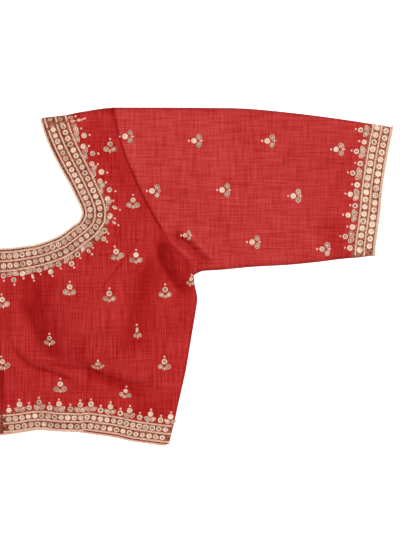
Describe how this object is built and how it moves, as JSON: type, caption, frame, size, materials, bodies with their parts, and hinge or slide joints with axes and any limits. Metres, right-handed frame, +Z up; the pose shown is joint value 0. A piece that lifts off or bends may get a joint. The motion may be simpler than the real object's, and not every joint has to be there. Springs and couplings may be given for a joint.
{
  "type": "choli blouse",
  "caption": "Red silk choli blouse laid flat front up, with scooped neck, elbow sleeves, lapped centre front and gold piped edges.",
  "frame": {"origin": "middle of the underside on the surface the blouse lies on: halfway between the cuffs and halfway from hem to shoulders", "axes": "+X to the wearer's left cuff, +Y from the hem to the shoulders, +Z up out of the surface through the front"},
  "size_m": [0.904, 0.3896, 0.0189],
  "materials": {
    "silk": "slubbed raw silk weave with a soft sheen",
    "piping": "pale gold tissue bias piping, satin"
  },
  "bodies": {
    "root": {"front_left": "silk", "front_right": "silk", "back": "silk", "sleeve_left": "silk", "sleeve_right": "silk", "neck_piping_left": "piping", "neck_piping_right": "piping", "neck_piping_back": "piping", "hem_piping_left": "piping", "hem_piping_right": "piping", "hem_piping_back": "piping", "cuff_piping_left": "piping", "cuff_piping_right": "piping"}
  },
  "joints": []
}
